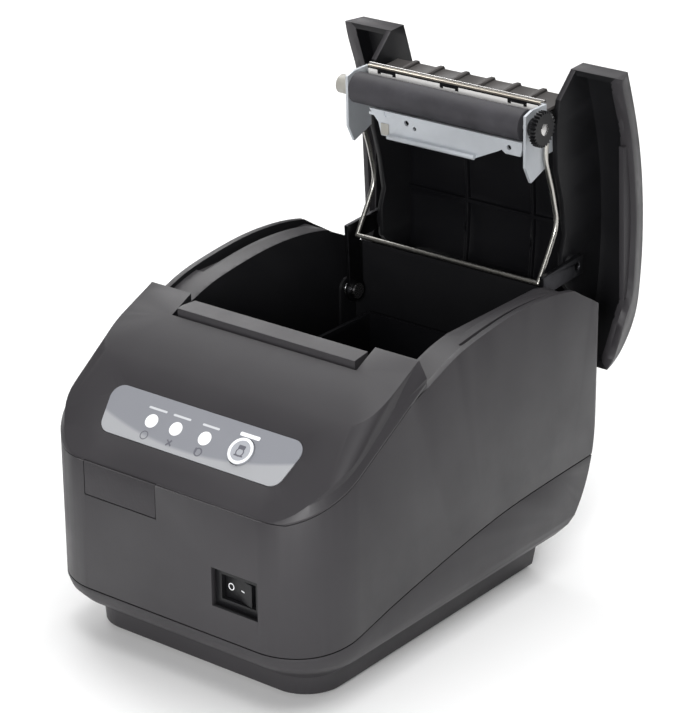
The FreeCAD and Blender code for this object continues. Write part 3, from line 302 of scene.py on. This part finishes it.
def slab(name, outlines, place, thick, look, body, edge=0.0):
    """Thin raised shape: outlines in mm in the plane of the matrix place, drawn out by thick mm."""
    bm = bmesh.new()
    for points in outlines:
        face = bm.faces.new([bm.verts.new(Vector((x, y, 0)) * MM) for x, y in points])
        drawn = bmesh.ops.extrude_face_region(bm, geom=[face])
        for v in drawn["geom"]:
            if isinstance(v, bmesh.types.BMVert):
                v.co.z += thick * MM
    bmesh.ops.recalc_face_normals(bm, faces=bm.faces)
    mesh = bpy.data.meshes.new(name)
    bm.to_mesh(mesh)
    mesh.materials.append(M[look])
    o = bpy.data.objects.new(name, mesh)
    o.matrix_world = place
    bpy.context.scene.collection.objects.link(o)
    if edge:
        bevel = o.modifiers.new("edge_radius", "BEVEL")
        bevel.width = edge * MM
        bevel.segments = 2
        bevel.limit_method = "ANGLE"
    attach(o, body)
    return o


def ring(name, centre, outer, inner, place, thick, look, body, steps=48):
    """Flat ring with a rounded top."""
    bm = bmesh.new()
    profile = [(outer, 0), (outer, thick * 0.6), (outer - 0.2 * (outer - inner), thick),
               (inner + 0.2 * (outer - inner), thick), (inner, thick * 0.6), (inner, 0)]
    loops = []
    for i in range(steps):
        a = 2 * math.pi * i / steps
        x, y = math.cos(a), math.sin(a)
        loops.append([bm.verts.new(Vector((centre[0] + r * x, centre[1] + r * y, h)) * MM)
                      for r, h in profile])
    for here, there in zip(loops, loops[1:] + loops[:1]):
        for i in range(len(profile)):
            j = (i + 1) % len(profile)
            bm.faces.new([here[i], there[i], there[j], here[j]])
    bmesh.ops.recalc_face_normals(bm, faces=bm.faces)
    mesh = bpy.data.meshes.new(name)
    bm.to_mesh(mesh)
    mesh.materials.append(M[look])
    for face in mesh.polygons:
        face.use_smooth = True
    o = bpy.data.objects.new(name, mesh)
    o.matrix_world = place
    bpy.context.scene.collection.objects.link(o)
    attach(o, body)
    return o


def rounded(x0, x1, y0, y1, r=0.4):
    """Rectangle with rounded corners."""
    out = []
    corners = ((x1 - r, y1 - r, 0), (x0 + r, y1 - r, 90), (x0 + r, y0 + r, 180), (x1 - r, y0 + r, 270))
    for cx, cy, a0 in corners:
        for k in range(4):
            a = math.radians(a0 + 30 * k)
            out.append((cx + r * math.cos(a), cy + r * math.sin(a)))
    return out


def frame_at(origin, across, upward, out):
    return Matrix.Translation(origin) @ Matrix((across, upward, out)).transposed().to_4x4()


# Marks on the label: x to the right, y up the slope from the label's top edge, all in mm.
PRINT_LIFT = 0.00015             # underside of the print, off the label's plane
BUTTON_LIFT = 0.0009             # and of the marks on the feed button
INK = 0.05                       # thickness of the dark marks
CAPTION_INK = 0.04
RIGHT = Vector((1, 0, 0))
LABEL = frame_at(PANEL_EDGE + OFF * PRINT_LIFT, RIGHT, -DOWN, OFF)
LAMP_CAPTIONS = ((-22.9, 4.6), (-10.6, 4.4), (4.0, 4.2))     # middle and half length
for i, (middle, half) in enumerate(LAMP_CAPTIONS):
    # A plain bar stands where each lamp's word is printed.
    slab("lamp_caption_%d" % i, [rounded(middle - half, middle + half, -6.0, -5.1)], LABEL, CAPTION_INK,
         "print_pale", "frame")
slab("button_caption", [rounded(17.8, 27.4, -5.1, -3.5, 0.6)], LABEL, CAPTION_INK,
     "print_white", "frame")
CROSS = [(-11.5, -15.6), (-10.6, -16.6), (-9.9, -15.4), (-9.3, -15.8), (-9.9, -16.9), (-8.9, -17.8),
         (-9.4, -18.3), (-10.3, -17.4), (-11.2, -18.5), (-11.7, -18.0), (-10.9, -16.9), (-12.0, -16.1)]
ring("lamp_mark_0", (-23.1, -17.1), 1.9, 1.5, LABEL, INK, "print_dark", "frame")
slab("lamp_mark_1", [CROSS], LABEL, INK, "print_dark", "frame")
ring("lamp_mark_2", (4.1, -16.7), 1.9, 1.3, LABEL, INK, "print_dark", "frame")
slab("lamp_mark_3", [rounded(2.2, 3.2, -17.4, -15.2, 0.3)], LABEL, 0.06,
     "print_dark", "frame")
BUTTON = frame_at(PANEL_EDGE + OFF * BUTTON_LIFT, RIGHT, -DOWN, OFF)
ring("button_ring", (22.3, -11.2), 5.5, 4.3, BUTTON, 0.22, "print_white", "feed_button")
ring("button_mark", (22.3, -11.8), 1.9, 1.4, BUTTON, 0.06, "print_dark", "feed_button")
SHEET = [rounded(20.7, 23.9, -10.6, -8.9, 0.3), rounded(20.2, 24.4, -13.6, -13.0, 0.2)]
slab("button_mark_sheet", SHEET, BUTTON, INK, "print_dark", "feed_button")

# Marks on the power switch's rocker, a shallow V seen from above.
ROCKER_AXIS = Vector((0.03235, -0.0886, 0.04605))
ROCKER_TILT = -9.0               # how far it is rocked at rest, in degrees
ROCKER_APEX = 2.3                # axis to the middle of the V, in mm
ROCKER_LEAN = math.atan2(0.9, 7.4)
MARK_SINK = 0.02
for side, reach in ((-1, 4.7), (1, 1.6)):
    lean = ROCKER_LEAN * side
    angle = math.radians(ROCKER_TILT) - lean
    across = Vector((math.cos(angle), math.sin(angle), 0))
    out = Vector((math.sin(angle), -math.cos(angle), 0))
    tilt = math.radians(ROCKER_TILT)
    apex = ROCKER_AXIS + Vector((math.sin(tilt) * ROCKER_APEX, -math.cos(tilt) * ROCKER_APEX, 0)) * MM
    face = frame_at(apex + across * side * reach * MM - out * MARK_SINK * MM, across, Vector((0, 0, 1)), out)
    if side < 0:
        ring("switch_off_mark", (0, 0), 1.5, 1.1, face, 0.07, "print_white", "rocker")
    else:
        slab("switch_on_mark", [rounded(-1.0, 1.0, -0.25, 0.25, 0.2)], face, 0.07, "print_white", "rocker")

# Pieces laid out with the cover shut, then swung open with it.
HINGE = Vector((0, 0.0859, 0.092913))
OPEN_DEG = 86.7
SHUT_SHIFT = Vector((0, 0.0038, 0.0015))
SHELF_Z = 0.0846                 # underside of the bracket's shelf
STRIP_Z = 0.0980                 # plane of the light strip beside the roller
SWING = (Matrix.Translation(HINGE) @ Matrix.Rotation(math.radians(-OPEN_DEG), 4, "X")
         @ Matrix.Translation(-HINGE) @ Matrix.Translation(SHUT_SHIFT))


def underside(z):
    """Plane facing down at height z with the cover shut, x to the right and y to the front."""
    return SWING @ frame_at(Vector((0, 0, z)), RIGHT, Vector((0, -1, 0)), Vector((0, 0, -1)))


slab("bracket_pad", [rounded(-27.0, -23.0, -3.0, 2.2, 0.3)], underside(SHELF_Z), 0.5, "pale_plastic", "cover",
     0.15)
STRIP = underside(STRIP_Z)


def comb(x0, x1, y0, y1, gaps, depth):
    """Long strip with shallow notches along one edge."""
    points = [(x0, y0), (x1, y0), (x1, y1)]
    for middle, half in sorted(gaps, reverse=True):
        points += [(middle + half, y1), (middle + half, y1 - depth), (middle - half, y1 - depth),
                   (middle - half, y1)]
    return points + [(x0, y1)]


# The dark backing, seen as a thin border round the strip, is painted shade.
slab("strip_backing", [[(-43.4, 15.2), (43.4, 15.2), (43.4, 19.7), (-43.4, 19.7)]], STRIP, 0.1, "inner_face",
     "cover")
GAP_X = (-33.5, -1.3, 32.7)      # middles of the three gaps, each painted dark as shade
NOTCH_OFF = 3.9                  # a small notch stands this far to each side of a gap's middle
NOTCH_HALF = 0.9
GAP_HALF = 4.2
teeth = []
for middle in GAP_X:
    teeth += [(middle - NOTCH_OFF, NOTCH_HALF), (middle + NOTCH_OFF, NOTCH_HALF)]
slab("tear_strip", [comb(-43.0, 43.0, 15.4, 19.1, teeth, 1.7)], STRIP, 0.35, "white_strip", "cover")
# Each gap is a dark slab laid on the strip: painted shade.
for i, middle in enumerate(GAP_X):
    slab("strip_gap_%d" % i, [rounded(middle - GAP_HALF, middle + GAP_HALF, 18.3, 19.3, 0.2)], STRIP, 0.42,
         "inner_face", "cover")


# ---- stage ------------------------------------------------------------------------------
FLOOR_HALF = 6.0
STUDIO_STRENGTH = 0.28
AIM = Vector((0, 0, 0.09))
# Name, place and side in metres, and power in watts.
LAMPS = (("key", (0.15, 0.35, 1.5), 1.8, 27), ("corner", (0.6, -1.4, 0.6), 0.5, 20),
         ("left", (-1.0, 0.6, 0.9), 0.8, 8))


def stage():
    world = bpy.data.worlds.new("studio")
    bpy.context.scene.world = world
    world.use_nodes = True
    tree = world.node_tree
    # Studio: pale overhead, falling off towards the walls.
    coords = tree.nodes.new("ShaderNodeTexCoord")
    split = tree.nodes.new("ShaderNodeSeparateXYZ")
    tree.links.new(coords.outputs["Generated"], split.inputs[0])
    ramp = tree.nodes.new("ShaderNodeValToRGB")
    tree.links.new(split.outputs["Z"], ramp.inputs[0])
    ramp.color_ramp.elements[0].position = 0.0
    ramp.color_ramp.elements[0].color = (0.08, 0.08, 0.085, 1)
    ramp.color_ramp.elements[1].position = 1.0
    ramp.color_ramp.elements[1].color = (1.0, 1.0, 1.0, 1)
    ramp.color_ramp.interpolation = "EASE"
    tree.links.new(ramp.outputs[0], tree.nodes["Background"].inputs[0])
    tree.nodes["Background"].inputs[1].default_value = STUDIO_STRENGTH
    bm = bmesh.new()
    bmesh.ops.create_grid(bm, x_segments=1, y_segments=1, size=FLOOR_HALF)
    mesh = bpy.data.meshes.new("floor")
    bm.to_mesh(mesh)
    floor = bpy.data.objects.new("floor", mesh)
    bpy.context.scene.collection.objects.link(floor)
    s = Shader("floor")
    s.join(s.ramp(s.noise(2.0), [(0.3, (0.93, 0.93, 0.93)), (0.7, (0.95, 0.95, 0.95))]), "Base Color")
    s.bsdf.inputs["Roughness"].default_value = 0.9
    mesh.materials.append(s.mat)
    for name, at, size, power in LAMPS:
        data = bpy.data.lights.new(name, "AREA")
        data.size = size
        data.energy = power
        lamp = bpy.data.objects.new(name, data)
        lamp.location = at
        lamp.rotation_euler = (AIM - Vector(at)).to_track_quat("-Z", "Y").to_euler()
        bpy.context.scene.collection.objects.link(lamp)


# The camera's angles in degrees, its place in metres and its lens in mm.
TURN, TIP, ROLL = 38.194, 22.9114, -0.4317
CAMERA_AT = Vector((0.656894, -0.817139, 0.546317))
LENS, SENSOR = 143.616, 36.0


def camera():
    turn, tip, roll = math.radians(TURN), math.radians(TIP), math.radians(ROLL)
    ahead = Vector((-math.sin(turn) * math.cos(tip), math.cos(turn) * math.cos(tip), -math.sin(tip)))
    right = Vector((math.cos(turn), math.sin(turn), 0))
    up = right.cross(ahead)
    level = right * math.cos(roll) + up * math.sin(roll)
    upright = up * math.cos(roll) - right * math.sin(roll)
    data = bpy.data.cameras.new("camera")
    data.sensor_fit = "VERTICAL"
    data.sensor_height = SENSOR
    data.lens = LENS
    cam = bpy.data.objects.new("camera", data)
    cam.matrix_world = Matrix.Translation(CAMERA_AT) @ Matrix((level, upright, -ahead)).transposed().to_4x4()
    bpy.context.scene.collection.objects.link(cam)
    bpy.context.scene.camera = cam
    bpy.context.scene.view_settings.view_transform = "Standard"


stage()
camera()
